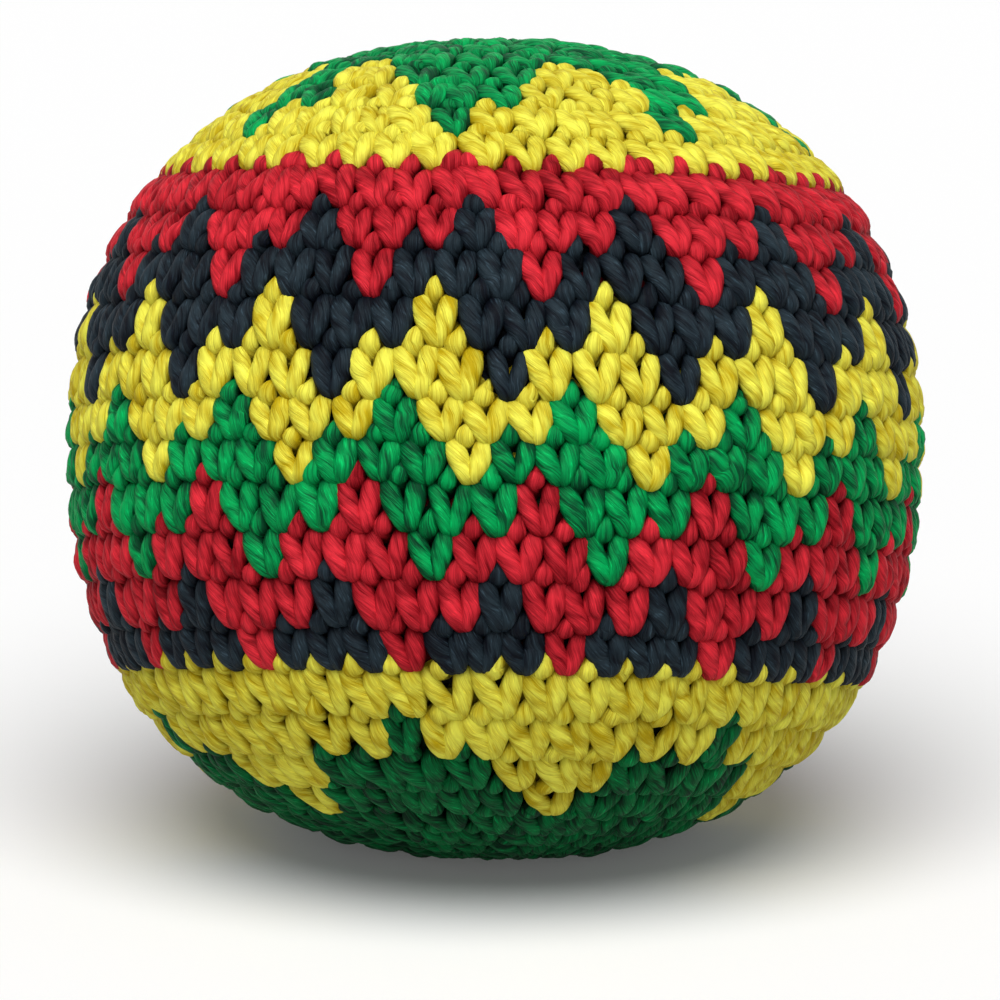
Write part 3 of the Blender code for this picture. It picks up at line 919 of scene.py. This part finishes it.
tie = {
    "thread": 0.00027,
    "turns": 3,
    "pointsInTurn": 40,
    "middleShare": 0.75,  # of the thread's width, from the neck to its middle
    "knotSize": 0.00026,
    "knotDepthShare": 0.6,
    "knotPoints": 70,
    "endLength": 0.0011,
    "endDropShare": 0.5,
    "endTuckShare": 0.5,  # of the knot's size
    "endPoints": 20,
}
tieLooks = {
    "Light Colour": (0.7, 0.68, 0.62, 1), "Deep Colour": (0.4, 0.38, 0.33, 1), "Streaks": 1.4,
    "Groove": 0.5, "Smoothness": 0.3, "Painted Shade": 0.6, "Patches": 1, "Glints": 0.5,
}


def tieTubes():
    waist, collar = pouch["neck"][2:4]
    low = innerTop - waist[1]
    high = innerTop - collar[1]
    middle = (low + high) / 2
    height = tie["thread"] * tie["turns"]
    angle = np.linspace(0, 2 * math.pi * tie["turns"], tie["pointsInTurn"] * tie["turns"])
    climb = middle - height / 2 + height * angle / angle[-1]
    radius = waist[0] + tie["thread"] * tie["middleShare"]
    tubes = [freeTube(np.full(len(angle), radius), angle, climb, tie["thread"])]
    # overhand knot in front of the windings, then two short ends
    turn = np.linspace(0, 2 * math.pi, tie["knotPoints"])
    size = tie["knotSize"]
    sideways = size * (np.sin(turn) + 2 * np.sin(2 * turn)) / 2
    upwards = size * (np.cos(turn) - 2 * np.cos(2 * turn)) / 2
    outside = radius + tie["thread"] + size * (1 - np.sin(3 * turn) * tie["knotDepthShare"])
    tubes.append(freeTube(outside, sideways / radius, middle + upwards, tie["thread"]))
    share = np.linspace(0, 1, tie["endPoints"])
    drop = middle - size - tie["endLength"] * tie["endDropShare"] * share ** 2
    tucked = radius + tie["thread"] + size * (1 - share * tie["endTuckShare"])
    for sign in (-1, 1):
        sway = sign * (size + tie["endLength"] * share) / radius
        tubes.append(freeTube(tucked, sway, drop, tie["thread"]))
    return tubes


# Pellets

pellets = {
    "width": 0.0054,
    "flatness": (1.0, 0.95, 0.78),
    "subdivisions": 3,
    "sizeJitter": 0.05,
    "fillGap": 0.0006,
    "layers": 5,
    "layerStep": 0.0046,
    "fewest": 5,  # in a round of the outer layer
    "wallShare": 0.9,  # of half a pellet, from the pouch to its middle
    "floorShare": 0.85,
    "rowShare": 0.92,  # of a pellet, from one round to the next
    "turnJitter": 0.2,
    "leastShare": 0.8,  # of a pellet, between two middles
}
fillDepth = linerDepth + pouch["wall"] + pellets["fillGap"]


def pelletPlaces():
    # layer by layer inwards, round by round up each layer
    places = []
    half = pellets["width"] / 2
    neckBase = innerTop - pouch["neck"][1][1]
    highest = neckBase - pouch["wall"] - pellets["fillGap"] - half
    for layer in range(pellets["layers"]):
        depth = fillDepth + half * pellets["wallShare"] + layer * pellets["layerStep"]
        shrink = 1 - depth / (ball["width"] / 2)
        rows = round((wholeLength * shrink - pellets["width"]) / pellets["width"] / pellets["rowShare"])
        rows = max(1, rows)
        for row in range(rows + 1):
            length = half / shrink + (wholeLength - pellets["width"] / shrink) * row / rows
            radius, height = underOutline(length, depth)
            count = max(1 if layer else pellets["fewest"], int(2 * math.pi * radius / pellets["width"]))
            turns = np.arange(count) + 0.5 * (row % 2) + dice.random() * pellets["turnJitter"]
            angle = 2 * math.pi * turns / count
            spots = fromAxis(np.full(count, radius), angle, np.minimum(height, highest))
            spots[:, 2] = np.maximum(spots[:, 2], fillDepth + half * pellets["floorShare"])
            places.append(spots)
    return np.concatenate(places)


def pelletMesh():
    shape = bmesh.new()
    bmesh.ops.create_icosphere(shape, subdivisions=pellets["subdivisions"], radius=1)
    unit = np.array([corner.co[:] for corner in shape.verts])
    triangles = np.array([[corner.index for corner in face.verts] for face in shape.faces])
    shape.free()
    corners, faces, tones, kept = [], [], [], []
    least = pellets["width"] * pellets["leastShare"]
    for spot in pelletPlaces():
        if kept and np.linalg.norm(np.array(kept) - spot, axis=1).min() < least:
            continue
        kept.append(spot)
        turn = np.array(Euler(dice.uniform(0, 2 * math.pi, 3)).to_matrix())
        size = pellets["width"] / 2 * (1 + dice.normal(0, pellets["sizeJitter"]))
        faces.append(triangles + len(corners) * len(unit))
        corners.append((unit * np.array(pellets["flatness"]) * size) @ turn.T + spot)
        tones.append(np.full(len(unit), dice.random()))
    print("poured", len(kept), "pellets")
    corners, faces, tones = map(np.concatenate, (corners, faces, tones))
    return meshFrom("pellet_fill_grains", corners, faces, [], "Grain", np.zeros((faces.size, 2)), tones)


grain = {
    "scale": 900,
    "detail": 2,
    "noiseShare": 0.3,
    "toneShare": 0.8,  # how much one pellet differs from the next
    "roughness": 0.3,
    "roughnessSpread": 0.2,
    "bumps": (0.2, 0.0001),
}


def grainGroup():
    tree, given, result = newGroup("mouldedGrain", {
        "Pale Colour": (0.75, 0.74, 0.7, 1),
        "Dull Colour": (0.52, 0.52, 0.5, 1),
    }, {"Colour": colourSocket, "Roughness": valueSocket, "Height": valueSocket})
    reckon = partial(mathNode, tree)
    place = addNode(tree, "ShaderNodeTexCoord").outputs["Object"]
    noise = noiseNode(tree, place, grain["scale"], grain["detail"])
    tone = addNode(tree, "ShaderNodeAttribute", attribute_name="tone").outputs["Fac"]
    toned = reckon("MULTIPLY", tone, grain["toneShare"])
    factor = reckon("MULTIPLY_ADD", noise, grain["noiseShare"], toned)
    rough = reckon("MULTIPLY_ADD", noise, grain["roughnessSpread"], grain["roughness"])
    colour = mixColours(tree, factor, given["Pale Colour"], given["Dull Colour"])
    tree.links.new(colour, result["Colour"])
    tree.links.new(rough, result["Roughness"])
    tree.links.new(noise, result["Height"])
    return tree


startLoop = tubeMesh("start_loop_yarn", [loopTube(middleOfCover - ball["baseDrop"])])
addPiece("start_loop_yarn", startLoop, yarns["green"], "start_loop")
closingLoop = tubeMesh("closing_loop_yarn", [loopTube(ball["crownRise"] - middleOfCover)])
addPiece("closing_loop_yarn", closingLoop, yarns["green"], "closing_loop")
closingTail = tubeMesh("closing_tail_yarn", [tailTube()])
addPiece("closing_tail_yarn", closingTail, yarns["green"], "closing_tail")
print("closed the cover")

pouchPiece = addPiece("liner_pouch_cloth", pouchMesh(), clothMaterial(), "liner_pouch")
tieMesh = tubeMesh("liner_tie_thread", tieTubes())
addPiece("liner_tie_thread", tieMesh, strandMaterial("tieThread", tieLooks), "liner_tie")
print("gathered and tied the pouch")

pelletPlastic = groupMaterial("plasticPellet", grainGroup(), grain["bumps"])[0]
addPiece("pellet_fill_grains", pelletMesh(), pelletPlastic, "pellet_fill")

# Floor, light and camera

studio = {
    "floorSize": 6,
    "floorBounce": 0.49,  # how pale the floor is to the light that it throws back
    "floorWhite": 0.93,  # and how pale it looks
    "floorGlow": 0.072,
    "floorRoughness": 0.9,
    "lamps": [  # name, tilt towards the camera, tilt sideways, spread and strength
        ("overheadSun", math.radians(29), math.radians(-1.5), math.radians(52), 2.85),
        ("frontSun", math.radians(88), 0, math.radians(50), 0.53),
    ],
    "worldStrength": 0.18,
    "cameraDistance": 0.65,
    "cameraRise": math.radians(13.5),
    "lens": 386,
    "sensorWidth": 36,
    "shift": (0.005, -0.053),
    "nearest": 0.01,
    "furthest": 20,
}


def seenStraight(tree):
    # 1 for the camera, and for what glossy or clear surfaces show
    rays = addNode(tree, "ShaderNodeLightPath").outputs
    seen = mathNode(tree, "MAXIMUM", rays["Is Camera Ray"], rays["Is Glossy Ray"])
    return mathNode(tree, "MAXIMUM", seen, rays["Is Transmission Ray"])


def floorMaterial():
    material, tree, shader = plainMaterial("paleFloor")
    shader.inputs["Roughness"].default_value = studio["floorRoughness"]
    shader.inputs["Specular IOR Level"].default_value = 0
    seen = seenStraight(tree)
    tint = addNode(tree, "ShaderNodeMix", data_type="RGBA")
    tint.inputs[mixSockets["first"]].default_value = (*[studio["floorBounce"]] * 3, 1)
    tint.inputs[mixSockets["second"]].default_value = (*[studio["floorWhite"]] * 3, 1)
    tree.links.new(seen, tint.inputs["Factor"])
    tree.links.new(tint.outputs[mixSockets["result"]], shader.inputs["Base Color"])
    shader.inputs["Emission Color"].default_value = (1, 1, 1, 1)
    glow = mathNode(tree, "MULTIPLY", seen, studio["floorGlow"])
    tree.links.new(glow, shader.inputs["Emission Strength"])
    return material


def addFloor():
    half = studio["floorSize"] / 2
    corners = [(-half, -half, 0), (half, -half, 0), (half, half, 0), (-half, half, 0)]
    mesh = bpy.data.meshes.new("floor")
    mesh.from_pydata(corners, [], [(0, 1, 2, 3)])
    mesh.materials.append(floorMaterial())
    floor = bpy.data.objects.new("floor", mesh)
    bpy.context.collection.objects.link(floor)


def addSuns():
    for name, tilt, sideways, spread, strength in studio["lamps"]:
        data = bpy.data.lights.new(name, "SUN")
        data.energy = strength
        data.angle = spread
        sun = bpy.data.objects.new(name, data)
        sun.rotation_euler = (tilt, sideways, 0)
        bpy.context.collection.objects.link(sun)


def addWorld():
    world = bpy.data.worlds.new("studio")
    world.use_nodes = True
    tree = world.node_tree
    light = tree.nodes["Background"]
    light.inputs["Color"].default_value = (1, 1, 1, 1)
    light.inputs["Strength"].default_value = studio["worldStrength"]
    backdrop = addNode(tree, "ShaderNodeBackground")
    backdrop.inputs["Color"].default_value = (1, 1, 1, 1)
    pick = addNode(tree, "ShaderNodeMixShader")
    tree.links.new(seenStraight(tree), pick.inputs[0])
    tree.links.new(light.outputs[0], pick.inputs[1])
    tree.links.new(backdrop.outputs[0], pick.inputs[2])
    tree.links.new(pick.outputs[0], tree.nodes["World Output"].inputs["Surface"])
    bpy.context.scene.world = world


def addCamera():
    data = bpy.data.cameras.new("camera")
    data.lens = studio["lens"]
    data.sensor_width = studio["sensorWidth"]
    data.shift_x, data.shift_y = studio["shift"]
    data.clip_start = studio["nearest"]
    data.clip_end = studio["furthest"]
    camera = bpy.data.objects.new("camera", data)
    rise = studio["cameraRise"]
    away = Vector((0, -math.cos(rise), math.sin(rise)))
    camera.location = Vector(ballMiddle) + away * studio["cameraDistance"]
    camera.rotation_euler = (math.pi / 2 - rise, 0, 0)
    bpy.context.collection.objects.link(camera)
    bpy.context.scene.camera = camera


addFloor()
addSuns()
addWorld()
addCamera()
bpy.context.scene.view_settings.view_transform = "Standard"
print("set the floor, lamps and camera")
